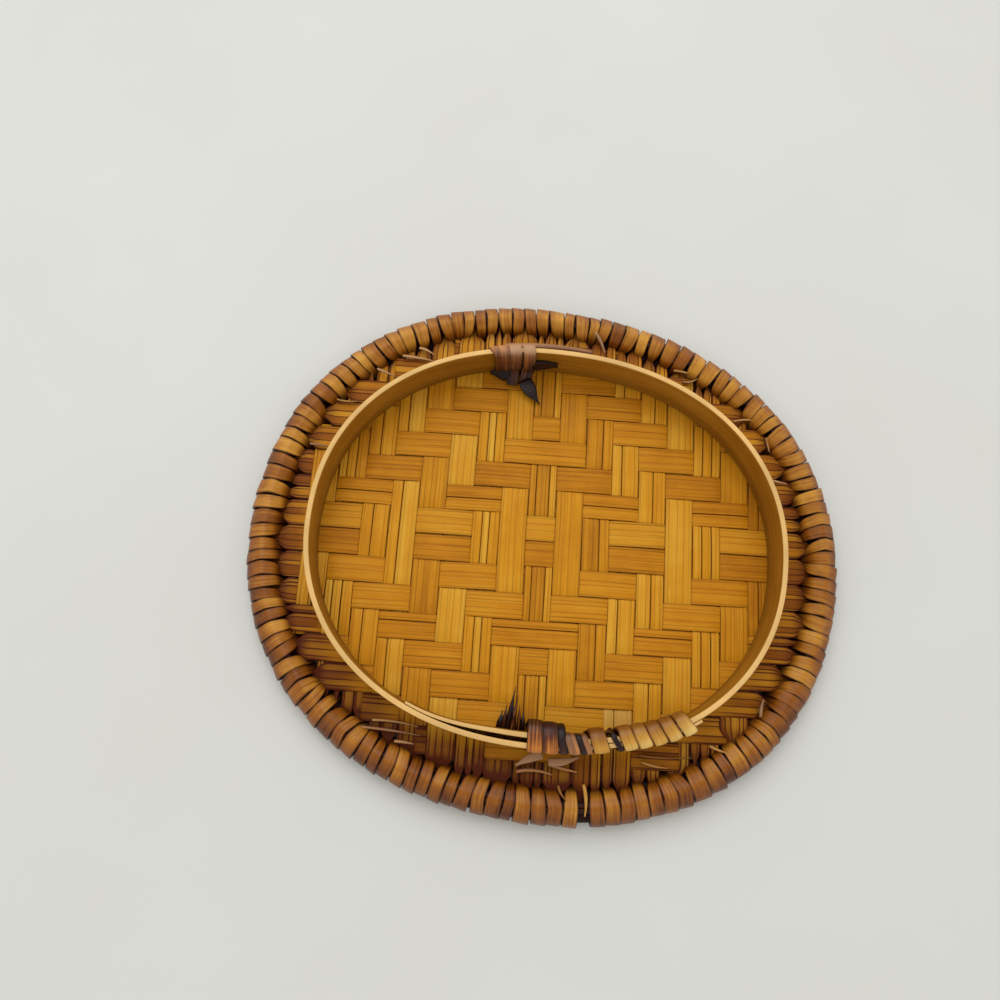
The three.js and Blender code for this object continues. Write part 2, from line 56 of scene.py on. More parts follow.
# Turns of the long axes against the weft, as the part has them
RIM_TURN = math.radians(-7.5)
HOOP_TURN = math.radians(-3.5)
OVAL_POWER = 2.17  # 2 makes an ellipse, and more makes fuller corners

# Strips
GROOVE_HALF = 0.22  # half the width of a groove along a strip
GROOVE_SHADE = 0.45
EDGE_DARK = 0.8  # painted shade in the edges and grooves of a strip
SERIAL_STEP = 3.7  # sets the grain of a strip apart from the one before
BEND_SHARE = 0.45  # of a straight run, the most that a bend at its end takes up
BEND_POINTS = 5

# Mat
SPLINT_THICKNESS = 0.42
SPLINT_GAP = 0.06
SPLINT_CORNER = 0.12
SPLINT_CROWN = 0.05
SPLINT_GROOVE = 0.05
SPLINT_STEP = 0.9
WEAVE_LIFT = 0.27
WEAVE_EASE = 0.75  # half the length in which a splint climbs over its neighbour
SIDE_DRIFT = (0.12, 45.0)  # size and length of the drift of a splint to its sides
HEIGHT_DRIFT = (0.05, 30.0)
PETAL_START = 1.6  # where a splint begins to narrow, inside the lashing's inner face
PETAL_END = -1.3
PETAL_POWER = 0.8  # below 1, so that the narrowing is a round one
PETAL_RISE = 0.25
TONGUE_SHARE = 0.3  # of a splint's width, inside the rim
STRAND_WIDTH = 1.45  # between the lengthwise grooves of a splint
PATCH_SPLINT = "mat_warp_right_3"  # paler along a short run
PATCH_RUN = (-39.0, -35.4)
PATCH_PALE = 0.6

# Painted shade on the splints in the valley between the hoop and the rim, which are also a little stained
# there:
# lighter to the far side, deepest on the near left, where the hoop's shadow falls, and next to the lashing.
# A zone
# is where a change begins and ends: towards the far or near side, to the right, or in from the lashing.
VALLEY_START = (0.98, 1.1)  # where it sets in and is full, as reach of the hoop's oval
VALLEY_DARK = 0.22
VALLEY_TONE = -0.1
VALLEY_EDGE_DARK = 1.6  # added in the edges and grooves
FAR_ZONE = (4.0, 30.0)
FAR_LIGHTER = 0.16
NEAR_ZONE = (0.0, 45.0)
NEAR_DARKER = 0.55
RIGHT_ZONE = (-2.0, 16.0)
RIGHT_SPARED = 0.85  # share of the near side's painted shade that isn't on its right
LASH_ZONE = (-0.5, 3.0)
LASH_DARK = 0.55  # painted shade next to the lashing

# Rim
CORE_HALF = 3.1
CORE_STEPS = 240
CORE_ROUND = 0.45  # corner of a core's section, as a share of its thickness
CORE_GROOVE = 0.3
LASH_FACE = CORE_HALF + 0.9  # inner face of the lashing, inside the rim's middle line
RIM_PULL = (0.8, 0.1)  # how far the lashing draws the rim in at its ends and sides
STITCHES = 122
STITCH_WIDTH = 2.8  # of a stitch of middling size
STITCH_THICKNESS = 0.5
STITCH_TILT = math.radians(5)
INNER_WIDTHS = (1.1, 2.3)  # least and greatest width of a stitch where it passes the mat
TONGUE_ROOM = 0.8  # kept free beside a splint's tongue
LEAST_ROOM = 0.8  # for the stitches between two tongues
LASH_LENGTHS = 4
LASH_JOIN = (11.6, -56.4)
JOIN_GAP = 2.4
FAR_PAINTED_LIGHT = 0.0015  # painted light: tone that a stitch gains per millimetre towards the far side, where the lamp is

# Hoop, with its lap measured along X
HOOP_THICKNESS = 1.15
HOOP_FOOT = 6.25
HOOP_CORNER = 0.22
HOOP_SHADE = 0.5  # painted shade at the foot of its faces
TOP_DRIFT = (0.12, 60.0)
TONE_DRIFT = (0.1, 70.0)
LAP_START = -28.0
LAP_END = 34.0
LAP_EASE = 22.0
LAP_OPENS = -25.0
LAP_WIDEST = (-7.0, -2.0)
LAP_CLOSES = 12.0
LAP_BOW = 0.85
LAP_SLACK = 0.1
SKIVE_LENGTH = 30.0
SKIVE_SHARE = 0.5

# Binding and ties
STRIP_WIDTH = 2.6  # of a turn of middling size
STRIP_THICKNESS = 0.45
STRIP_OFF = 0.3  # middle of a strip off the face that it lies on
STRIP_LIFT = 0.2  # lowest point of a turn over the foot of the hoop
SLACK_DROP = 2.2  # below the top of a turn, where it stands off most
FIRST_TURN = (13.4, 3.4)  # place along X and width of the binding's turn that stands apart
BOUND_TURNS = 5
BOUND_START = 19.4
BOUND_PITCH = 2.9
BOUND_WIDTH = 2.95
LOOSE_POINTS = 14
TAPER_START = 0.35  # share of a loose end's length where it begins to narrow
TUFT_HEIGHTS = (6.7, 8.4, 8.0)  # foot, middle and tip of the frayed ends in the near tie

# Camera of the photograph
FOCAL_PIXELS = 833.5
PICTURE_PIXELS = 1000
SENSOR_WIDTH = 36.0
CAMERA_TILT = math.radians(13.96)
CAMERA_ROLL = math.radians(3.95)
CAMERA_PLACE = (-10.67, -36.39, 194.48)

FLOOR_REACH = 1.5  # metres from the part to the floor's sides


def box(*nodes):
    """Lowest and highest corner round some nodes of the part."""
    corners = np.array([[list(corner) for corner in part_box(node)] for node in nodes]) / MM
    return corners[:, 0].min(axis=0), corners[:, 1].max(axis=0)


def unit(vectors):
    return vectors / np.linalg.norm(vectors, axis=-1, keepdims=True)


def walk(points):
    """Distance walked along some points, from the first one."""
    return np.append(0, np.cumsum(np.linalg.norm(np.diff(points, axis=0), axis=1)))


def smooth(value, low, high):
    """Goes softly from 0 at low to 1 at high."""
    share = np.clip((np.asarray(value, float) - low) / (high - low), 0, 1)
    return share * share * (3 - 2 * share)


def wobble(chance, place, size, length):
    """Slow random drift along a strip."""
    waves = [(length * chance.uniform(0.6, 1.8), chance.uniform(0, math.tau)) for _ in range(3)]
    return size * sum(np.sin(math.tau * place / wave + phase) for wave, phase in waves) / len(waves)


# Ovals


class Oval:
    """A turned oval about the middle of the part, walked by distance from its +X end."""

    STEPS = 4096

    def __init__(self, half_box, turn):
        # By the dual power, the half axes of the oval that just fills its box once it is turned
        dual = OVAL_POWER / (OVAL_POWER - 1)
        level, aside = abs(math.cos(turn)) ** dual, abs(math.sin(turn)) ** dual
        turned = [[level, aside], [aside, level]]
        self.semi = np.linalg.solve(turned, np.power(half_box, dual)) ** (1 / dual)
        self.turn = np.array([[math.cos(turn), -math.sin(turn)], [math.sin(turn), math.cos(turn)]])
        angle = np.linspace(0, math.tau, self.STEPS + 1)
        ray = np.stack([np.cos(angle), np.sin(angle)], -1) @ self.turn.T
        self.ring = ray / self.reach(ray)[:, None]
        self.walked = walk(self.ring)
        self.perimeter = self.walked[-1]
        ahead = np.roll(self.ring[:-1], -1, axis=0) - np.roll(self.ring[:-1], 1, axis=0)
        self.tangents = unit(np.append(ahead, ahead[:1], axis=0))

    def frame(self, distance):
        """Points of the oval at some distances along it, and its outward normals there."""
        at = np.mod(distance, self.perimeter)

        def between(rows):
            return np.stack([np.interp(at, self.walked, rows[:, axis]) for axis in range(2)], -1)

        tangent = unit(between(self.tangents))
        normal = np.stack([tangent[..., 1], -tangent[..., 0]], -1)
        return between(self.ring), normal

    def place(self, distance, out, z):
        """Points at some distances along the oval, outward of it, at a height."""
        point, normal = self.frame(distance)
        flat = point + normal * np.asarray(out)[..., None]
        return np.concatenate([flat, np.broadcast_to(z, flat.shape[:-1])[..., None]], -1)

    def foot(self, point):
        """Distance along the oval of the place nearest to a point."""
        return self.walked[np.argmin(np.linalg.norm(self.ring - np.asarray(point), axis=1))]

    def side(self, x, sign):
        """Distance along the oval of the place at x on its near side, with sign -1, or its far one."""
        there = sign * self.ring[:, 1] > 0
        return self.walked[np.argmin(np.where(there, np.abs(self.ring[:, 0] - x), np.inf))]

    def near_side(self, x):
        return self.side(x, -1)

    def far_side(self, x):
        return self.side(x, 1)

    def reach(self, points, inset=0.0):
        """Below 1 inside the oval drawn in by inset, above 1 outside it."""
        local = np.abs(np.asarray(points)[..., :2] @ self.turn / (self.semi - inset))
        return np.sum(local ** OVAL_POWER, axis=-1) ** (1 / OVAL_POWER)


core_high = box("rim_core_lower")[1]
rim = Oval(core_high[:2] - CORE_HALF - RIM_PULL, RIM_TURN)
hoop_high = box("collar_hoop")[1]
hoop = Oval(hoop_high[:2], HOOP_TURN)


# Strips, gathered into meshes


def flat_section(width, thickness, corner, count, grooves=(), depth=0.0, crown=0.0,
                 border=0.45, border_width=0.35):
    """Rounded outline of a flat strip, counter-clockwise, in shares of its half width and half thickness.

    The third row is the shade in its edges and grooves, from 0 to 1. Border is the shade along the sides
    of its faces, and border_width how far in that goes.
    """
    half, flat = width / 2, thickness / 2
    corner = min(corner, flat)
    spots = list(np.linspace(-1, 1, count) * (half - corner))
    for groove in grooves:
        spots += [groove * half + GROOVE_HALF * share for share in (-1, -0.5, 0, 0.5, 1)]
    spots = np.array(sorted(spot for spot in spots if abs(spot) <= half - corner))
    cut = np.zeros(len(spots))
    for groove in grooves:
        cut += np.exp(-np.square((spots - groove * half) / (0.5 * GROOVE_HALF)))
    face = flat + crown * (1 - np.square(spots / half)) - depth * cut
    turn = np.linspace(0, math.pi / 2, 4)[1:-1]
    arc = np.stack([half - corner + corner * np.sin(turn), flat - corner + corner * np.cos(turn)], -1)
    side = np.array([[half, flat - corner], [half, corner - flat]])
    right = np.concatenate([arc, side, arc[::-1] * (1, -1)])[::-1]
    top = np.stack([spots[::-1], face[::-1]], -1)
    bottom = np.stack([spots, -face], -1)
    outline = np.concatenate([right, top, right[::-1] * (-1, 1), bottom])
    edge = np.ones(len(right))
    border_shade = border * smooth(np.abs(spots), half - border_width, half)
    face_shade = np.clip(GROOVE_SHADE * cut + border_shade, 0, 1)
    shade = np.concatenate([edge, face_shade[::-1], edge, face_shade])
    return outline[:, 0] / half, outline[:, 1] / flat, shade


def spread(value, shape):
    """A number, or one per point of a strip, or one per point and place round it, as the last of these."""
    value = np.asarray(value, float)
    return np.broadcast_to(value[:, None] if value.ndim == 1 else value, shape)


class Ribbons:
    """Strips of bamboo or rattan that make up one piece."""

    def __init__(self):
        self.points, self.faces, self.caps = [], [], []
        self.strip, self.tone, self.dark, self.pale = [], [], [], []
        self.count = 0

    def add(self, centre, up, width, thickness, section, tone=0.5, dark=0.0, pale=0.0, tilt=0.0,
            edge=EDGE_DARK, closed=False):
        """One strip along the centre points, with its face towards up. Sizes and looks go through spread.

        Edge is how dark the shade in the section's edges and grooves gets.
        """
        across_share, up_share, shade = section
        shape = (len(centre), len(shade))
        loop = np.concatenate([centre[-1:], centre, centre[:1]])
        ahead = unit(np.gradient(loop, axis=0)[1:-1] if closed else np.gradient(centre, axis=0))
        level = unit(np.cross(up, ahead))
        raised = np.cross(ahead, level)
        lean = spread(tilt, (len(centre), 1))
        across = level * np.cos(lean) + raised * np.sin(lean)
        face = raised * np.cos(lean) - level * np.sin(lean)
        aside = across_share * spread(width, shape) / 2
        above = up_share * spread(thickness, shape) / 2
        ring = centre[:, None] + across[:, None] * aside[..., None] + face[:, None] * above[..., None]
        serial = SERIAL_STEP * (self.count + 1) + centre[0, 0]
        along = spread(walk(centre), shape)
        self.strip.append(np.stack([along, aside, np.full(shape, serial)], -1).reshape(-1, 3))
        self.tone.append(spread(tone, shape).ravel())
        self.dark.append((spread(dark, shape) + shade * spread(edge, shape)).ravel())
        self.pale.append(spread(pale, shape).ravel())
        self.join_up(ring, closed)

    def join_up(self, ring, closed):
        """Faces between the rings of points along a strip, and caps on its ends."""
        rows, columns = ring.shape[:2]
        first = sum(len(points) for points in self.points)
        index = first + np.arange(rows * columns).reshape(rows, columns)
        here = index if closed else index[:-1]
        ahead = np.roll(index, -1, axis=0) if closed else index[1:]
        quads = np.stack([here, np.roll(here, -1, 1), np.roll(ahead, -1, 1), ahead], -1)
        self.points.append(ring.reshape(-1, 3))
        self.faces += quads.reshape(-1, 4).tolist()
        if not closed:
            self.caps += [index[0][::-1].tolist(), index[-1].tolist()]
        self.count += 1

    def build(self, name, material):
        mesh = bpy.data.meshes.new(name)
        mesh.from_pydata((np.concatenate(self.points) * MM).tolist(), [], self.faces + self.caps)
        mesh.polygons.foreach_set("use_smooth", [True] * len(self.faces) + [False] * len(self.caps))
        strip = mesh.attributes.new("strip", "FLOAT_VECTOR", "POINT")
        strip.data.foreach_set("vector", np.concatenate(self.strip).astype(np.float32).ravel())
        for key in ("tone", "dark", "pale"):
            values = mesh.attributes.new(key, "FLOAT", "POINT")
            values.data.foreach_set("value", np.concatenate(getattr(self, key)).astype(np.float32))
        mesh.materials.append(material)
        piece = bpy.data.objects.new(name, mesh)
        bpy.context.scene.collection.objects.link(piece)
        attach(piece, "root")
        return piece


SLOTS = {row["node"]: row["material_slot"] for row in frame["record"]["subparts"]}


def dress(ribbons, node, stuff, material):
    """Makes the piece that stands for one node of the part."""
    piece = ribbons.build(f"{node}_{stuff}", material)
    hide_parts(node)


def rounded_path(corners, reach, step):
    """Path through corner rows whose first three values are a distance, an outward offset and a height.

    Bends are rounded off and straight runs divided, and the other values follow along.
    """
    corners = np.asarray(corners, float)
    rows = [corners[0]]
    bend = np.linspace(0, 1, BEND_POINTS)[:, None]

    def run_to(target):
        parts = max(1, int(np.linalg.norm((target - rows[-1])[:3]) / step))
        rows.extend(rows[-1] + (target - rows[-1]) * k / parts for k in range(1, parts))

    for before, corner, after in zip(corners, corners[1:], corners[2:]):
        into, out = before - corner, after - corner
        start = corner + into * min(BEND_SHARE, reach / np.linalg.norm(into[:3]))
        end = corner + out * min(BEND_SHARE, reach / np.linalg.norm(out[:3]))
        run_to(start)
        rows.extend((1 - bend) ** 2 * start + 2 * bend * (1 - bend) * corner + bend ** 2 * end)
    run_to(corners[-1])
    rows.append(corners[-1])
    return np.array(rows)


def wind(ribbons, oval, corners, thickness, section, reach=0.9, step=0.9):
    """Strip wound round a section on an oval.

    A corner is a row of distance along the oval, out, z, width, tone, dark, tilt and pale.
    """
    path = rounded_path(corners, reach, step)
    at, out, z, width, tone, dark, tilt, pale = path.T
    normal = oval.frame(at)[1]
    outward = np.concatenate([normal, np.zeros((len(at), 1))], 1)
    up = unit(-np.gradient(z)[:, None] * outward + np.gradient(out)[:, None] * UP)
    ribbons.add(oval.place(at, out, z), up, width, thickness, section, tone, dark, pale, tilt)


# Materials


def linear(colour):
    """Screen colour, 0 to 255, as the shader's own."""
    share = np.array(colour) / 255
    return (*np.where(share <= 0.04045, share / 12.92, ((share + 0.055) / 1.055) ** 2.4), 1.0)


class Shader:
    """The nodes of a material or of the room's light, with short calls to make them."""

    def __init__(self, owner, surface="Principled BSDF"):
        owner.use_nodes = True
        self.owner = owner
        self.tree = owner.node_tree
        self.surface = self.tree.nodes[surface]

    def node(self, kind, **links):
        node = self.tree.nodes.new(kind)
        for key, value in links.items():
            self.feed(node.inputs[key.replace("_", " ")], value)
        return node

    def feed(self, socket, value):
        if isinstance(value, bpy.types.NodeSocket):
            self.tree.links.new(value, socket)
        else:
            socket.default_value = value

    def attribute(self, name, output="Fac"):
        node = self.tree.nodes.new("ShaderNodeAttribute")
        node.attribute_name = name
        return node.outputs[output]

    def maths(self, operation, first, second=0.5, clamp=False):
        node = self.tree.nodes.new("ShaderNodeMath")
        node.operation = operation
        node.use_clamp = clamp
        self.feed(node.inputs[0], first)
        self.feed(node.inputs[1], second)
        return node.outputs[0]

    def noise(self, vector, scale, detail=4.0, rough=0.6):
        place = self.node("ShaderNodeMapping", Vector=vector, Scale=scale).outputs[0]
        noise = self.node("ShaderNodeTexNoise", Vector=place, Scale=1.0, Detail=detail, Roughness=rough)
        return noise.outputs["Fac"]

    def span(self, value, low, high, to_low=0.0, to_high=1.0):
        node = self.tree.nodes.new("ShaderNodeMapRange")
        for socket, number in zip(node.inputs, (value, low, high, to_low, to_high)):
            self.feed(socket, number)
        return node.outputs[0]

    def ramp(self, value, *stops):
        node = self.node("ShaderNodeValToRGB", Fac=value)
        for place, _ in stops[2:]:
            node.color_ramp.elements.new(place)
        for element, (place, colour) in zip(node.color_ramp.elements, stops):
            element.position = place
            element.color = linear(colour)
        return node.outputs[0]

    def mix(self, share, first, second):
        node = self.tree.nodes.new("ShaderNodeMix")
        node.data_type = "RGBA"
        self.feed(node.inputs[0], share)
        # The colour sockets come after those for numbers and vectors
        self.feed(node.inputs[6], first)
        self.feed(node.inputs[7], second)
        return node.outputs[2]

    def set(self, **values):
        for key, value in values.items():
            self.feed(self.surface.inputs[key.replace("_", " ")], value)


def strip_material(name, deep, middle, pale, crevice, cut, rough, sheen=0.2, streak=0.5, blotch=0.35):
    """Split bamboo or rattan: streaks along each strip, dark pores, edges darkened by painted shade, and a
    paler cut edge that also serves painted highlights.
    """
    shader = Shader(bpy.data.materials.new(name))
    strip = shader.attribute("strip", "Vector")
    body = shader.node("ShaderNodeTexCoord").outputs["Object"]
    fibre = shader.noise(strip, (0.06, 2.4, 1.0), detail=5.0, rough=0.65)
    band = shader.noise(strip, (0.018, 0.5, 1.0), detail=2.0)
    pore = shader.noise(strip, (0.035, 5.5, 1.0), detail=2.0, rough=0.5)
    cloud = shader.noise(body, (110.0, 110.0, 110.0), detail=3.0)
    value = shader.attribute("tone")
    for source, weight in ((fibre, streak), (band, 0.5 * streak), (cloud, blotch)):
        change = shader.maths("MULTIPLY", shader.maths("SUBTRACT", source), weight)
        value = shader.maths("ADD", value, change)
    colour = shader.ramp(value, (0.16, deep), (0.5, middle), (0.86, pale))
    line = shader.span(pore, 0.6, 0.72, 0.0, 0.4)
    # The dark attribute carries painted shade in edges, grooves and hollows, and some staining; it mixes in
    # the crevice colour
    shade_and_stain = shader.maths("MULTIPLY", shader.attribute("dark"), shader.span(cloud, 0.2, 0.8, 0.7, 1.2))
    colour = shader.mix(shader.maths("ADD", shade_and_stain, line, clamp=True), colour, linear(crevice))
    darker_cut = [0.86 * share for share in cut]
    cut_tone = shader.mix(shader.span(fibre, 0.3, 0.7), linear(cut), linear(darker_cut))
    colour = shader.mix(shader.attribute("pale"), colour, cut_tone)
    height = shader.maths("SUBTRACT", fibre, line)
    bump = shader.node("ShaderNodeBump", Strength=0.45, Distance=0.06 * MM, Height=height)
    shader.set(Base_Color=colour, Roughness=shader.span(fibre, 0.25, 0.75, rough - 0.1, rough + 0.12),
               Normal=bump.outputs[0], Specular_IOR_Level=sheen)
    return shader.owner


warp_bamboo = strip_material(
    "warp_bamboo", deep=(162, 96, 6), middle=(211, 142, 21), pale=(230, 180, 64), crevice=(86, 32, 4),
    cut=(214, 168, 86), rough=0.5, sheen=0.12)
weft_bamboo = strip_material(
    "weft_bamboo", deep=(150, 84, 4), middle=(202, 131, 16), pale=(221, 162, 44), crevice=(80, 28, 3),
    cut=(206, 156, 72), rough=0.5, sheen=0.12)
# Dark as painted shade: the cores show only in the gaps between the splints' tongues and the stitches
core_cane = strip_material(
    "core_cane", deep=(36, 15, 7), middle=(62, 28, 12), pale=(96, 50, 22), crevice=(26, 10, 6),
    cut=(120, 76, 40), rough=0.6)
lashing_rattan = strip_material(
    "lashing_rattan", deep=(92, 41, 5), middle=(156, 91, 19), pale=(214, 152, 54), crevice=(46, 15, 6),
    cut=(224, 194, 166), rough=0.4, sheen=0.25, streak=0.7, blotch=0.8)
hoop_bamboo = strip_material(
    "hoop_bamboo", deep=(116, 74, 10), middle=(160, 108, 25), pale=(190, 140, 50), crevice=(84, 45, 8),
    cut=(244, 197, 122), rough=0.45, streak=0.8)
binding_rattan = strip_material(
    "binding_rattan", deep=(150, 92, 20), middle=(206, 150, 56), pale=(244, 212, 130), crevice=(92, 44, 10),
    cut=(236, 204, 140), rough=0.4, sheen=0.35)
tie_rattan = strip_material(
    "tie_rattan", deep=(34, 14, 12), middle=(110, 54, 20), pale=(204, 124, 46), crevice=(26, 10, 10),
    cut=(196, 152, 114), rough=0.4, sheen=0.3, streak=1.7, blotch=0.8)


# Mat of bamboo splints


def splint_number(node):
    """Column of a warp splint, or row of a weft one, counted from the middle of the mat."""
    side = node.split("_")[2]
    if side == "centre":
        return 0
    count = int(node.split("_")[3])
    return {"left": -count, "right": count, "near": 0.5 - count, "far": count - 0.5}[side]


def weft_on_top(column, row):
    """Concentric diamonds of 2/2 twill."""
    return (abs(column) + abs(row) + 0.5) % 4 < 2


class Splints:
    """The warp, along axis 1, or the weft, along axis 0."""

    def __init__(self, stem, axis, material):
        self.nodes = sorted((node for node in SLOTS if node.startswith(stem)), key=splint_number)
        self.axis = axis
        self.material = material
        self.places = {splint_number(node): np.mean(box(node), axis=0)[1 - axis] for node in self.nodes}
        self.pitch = np.mean(np.diff(list(self.places.values())))

    def level(self, number, cross):
        """1 where a splint lies over the one that it crosses, and -1 where it lies under it."""
        covered = weft_on_top(number, cross) if self.axis == 1 else not weft_on_top(cross, number)
        return -1 if covered else 1


warp = Splints("mat_warp", 1, warp_bamboo)
weft = Splints("mat_weft", 0, weft_bamboo)
mat_low, mat_high = box(*warp.nodes, *weft.nodes)
MAT_MIDDLE = (mat_low[2] + mat_high[2]) / 2


def weave_height(splints, crossing, number, place):
    """Height of a splint as it goes over and under the others, at places along it."""
    crosses = sorted(crossing.places)
    first, last = crosses[0], crosses[-1]
    stations, levels = [], []
    for cross in np.arange(first - 1, last + 1):
        middle = crossing.places[first] + (cross + 0.5 - first) * crossing.pitch
        stations += [middle - WEAVE_EASE, middle + WEAVE_EASE]
        levels += [splints.level(number, cross), splints.level(number, cross + 1)]
    lift = WEAVE_LIFT * np.interp(place, stations, levels)
    window = np.ones(3) / 3
    return np.convolve(np.pad(lift, 1, mode="edge"), window, mode="valid")


def splint_ends(splints, node):
    """Ends of a splint, and where its face meets the lashing, along its own axis."""
    low, high = box(node)
    ends = np.array([low[splints.axis], high[splints.axis]])
    past = 6.0
    line = np.zeros((600, 2))
    line[:, splints.axis] = np.linspace(ends[0] - past, ends[1] + past, len(line))
    line[:, 1 - splints.axis] = splints.places[splint_number(node)]
    inside = line[rim.reach(line, LASH_FACE) < 1, splints.axis]
    return ends, np.array([inside.min(), inside.max()])


def splint_shade_and_stain(centre, outside, room):
    """Painted shade on a splint outside the hoop, a little stained too: deepest on the near left and next to
    the lashing.
    """
    near = smooth(-centre[:, 1], *NEAR_ZONE)
    far = smooth(centre[:, 1], *FAR_ZONE)
    right = smooth(centre[:, 0], *RIGHT_ZONE)
    valley = VALLEY_DARK - FAR_LIGHTER * far + NEAR_DARKER * near * (1 - RIGHT_SPARED * right)
    return valley * outside + LASH_DARK * (1 - smooth(room, *LASH_ZONE))


def split_shares(chance, axis):
    """Shares of a splint's width between its lengthwise splits. The warp is split more often."""
    splits = chance.choice((0, 0, 1, 1, 2) if axis == 1 else (0, 0, 0, 0, 1))
    marks = {
        0: (),
        1: (chance.uniform(0.3, 0.7),),
        2: (chance.uniform(0.25, 0.4), chance.uniform(0.6, 0.75)),
    }
    edges = (0.0, *marks[splits], 1.0)
    return zip(edges, edges[1:])


def splint_course(splints, crossing, node, chance):
    """Places along a splint, its middle line there and its room to the lashing, followed by two shares.

    Petal goes from 0 in the rim to 1 where the splint is at full width, and outside from 0 within the hoop
    to 1 in the valley.
    """
    number = splint_number(node)
    ends, faces = splint_ends(splints, node)
    place = np.linspace(*ends, int((ends[1] - ends[0]) / SPLINT_STEP))
    centre = np.zeros((len(place), 3))
    centre[:, splints.axis] = place
    centre[:, 1 - splints.axis] = splints.places[number] + wobble(chance, place, *SIDE_DRIFT)
    outside = smooth(hoop.reach(centre), *VALLEY_START)
    room = np.minimum(place - faces[0], faces[1] - place)
    petal = smooth(room, PETAL_END, PETAL_START) ** PETAL_POWER
    lift = weave_height(splints, crossing, number, place)
    rise = PETAL_RISE * outside * petal
    centre[:, 2] = MAT_MIDDLE + lift + wobble(chance, place, *HEIGHT_DRIFT) + rise
    return place, centre, room, petal, outside


def weave_splint(splints, crossing, node):
    """One splint, made of the strips between its splits."""
    chance = random.Random(node)
    place, centre, room, petal, outside = splint_course(splints, crossing, node, chance)
    dark = splint_shade_and_stain(centre, outside, room)
    pale_patch = PATCH_PALE * ((place > PATCH_RUN[0]) & (place < PATCH_RUN[1]) & (node == PATCH_SPLINT))
    full = splints.pitch - SPLINT_GAP
    # painted shade in the valley lowers the tone as well
    splint_tone = chance.gauss(0.5, 0.06) + VALLEY_TONE * outside
    ribbons = Ribbons()
    for low, high in split_shares(chance, splints.axis):
        part = full * (high - low)
        aside = np.zeros(3)
        aside[1 - splints.axis] = full * (low + high - 1) / 2
        aside[2] = chance.uniform(-0.03, 0.03)
        lines = int(part / STRAND_WIDTH)
        grooves = [2 * (k + chance.uniform(0.2, 0.8)) / lines - 1 for k in range(lines)]
        section = flat_section(part, SPLINT_THICKNESS, SPLINT_CORNER, count=13, grooves=grooves,
                               depth=SPLINT_GROOVE, crown=SPLINT_CROWN)
        width = (part - chance.uniform(0.03, 0.12)) * (TONGUE_SHARE + (1 - TONGUE_SHARE) * petal)
        strand_tones = np.array([chance.gauss(0, 0.2) for _ in range(lines + 1)])
        frayed = outside[:, None] * strand_tones[np.searchsorted(grooves, section[0])]
        tone = splint_tone[:, None] + chance.gauss(0, 0.07) + frayed
        # edges and grooves get deeper painted shade in the valley
        ribbons.add(centre + aside, UP, width, SPLINT_THICKNESS, section, tone, dark, pale_patch,
                    edge=EDGE_DARK + VALLEY_EDGE_DARK * outside)
    dress(ribbons, node, "splint", splints.material)


for splint in warp.nodes:
    weave_splint(warp, weft, splint)
for splint in weft.nodes:
    weave_splint(weft, warp, splint)


# Rim: two cane cores, and the lashing round them


def bend_core(node, inner, outer, grooves):
    """Closed cane between two offsets outward of the rim's middle line."""
    low, high = box(node)
    at = np.linspace(0, rim.perimeter, CORE_STEPS, endpoint=False)
    width = outer - inner
    thickness = high[2] - low[2]
    section = flat_section(width, thickness, CORE_ROUND * thickness, count=24, grooves=grooves,
                           depth=CORE_GROOVE)
    centre = rim.place(at, np.full(len(at), (inner + outer) / 2), (low[2] + high[2]) / 2)
    ribbons = Ribbons()
    ribbons.add(centre, UP, width, thickness, section, closed=True)
    dress(ribbons, node, "cane", core_cane)


bend_core("rim_core_lower", inner=-4.6, outer=2.9, grooves=(-0.35, 0.3))
bend_core("rim_core_upper", inner=-1.9, outer=0.5, grooves=(-0.1,))

# Loop of the lashing round the cores: out from the rim's middle line, height, tone added and painted shade.
# The added tone is painted light, lighter over the top and darker down the outer side; the painted shade
# lies low in the loop, under the rim and at its foot.
HEEL = (-3.4, 0.55, 0.0, 0.7)
KNEE = (-4.95, 2.6, 0.0, 0.75)
NECK = (-3.7, 5.4, 0.0, 0.7)
SHOULDER = (-2.7, 7.25, 0.14, 0.04)
CREST = (-0.5, 8.45, 0.14, 0.0)
BROW = (2.3, 6.2, -0.06, 0.0)
CHEEK = (3.15, 4.6, -0.15, 0.1)
BELLY = (3.5, 2.9, -0.15, 0.1)
TOE = (2.0, 0.55, -0.1, 0.3)


def rim_stretch(distance):
    """How much longer the outer edge is than the middle line of the rim."""
    ahead = rim.place(np.array([distance, distance + 1.0]), np.full(2, BROW[0]), 0)
    return np.linalg.norm(ahead[1] - ahead[0])


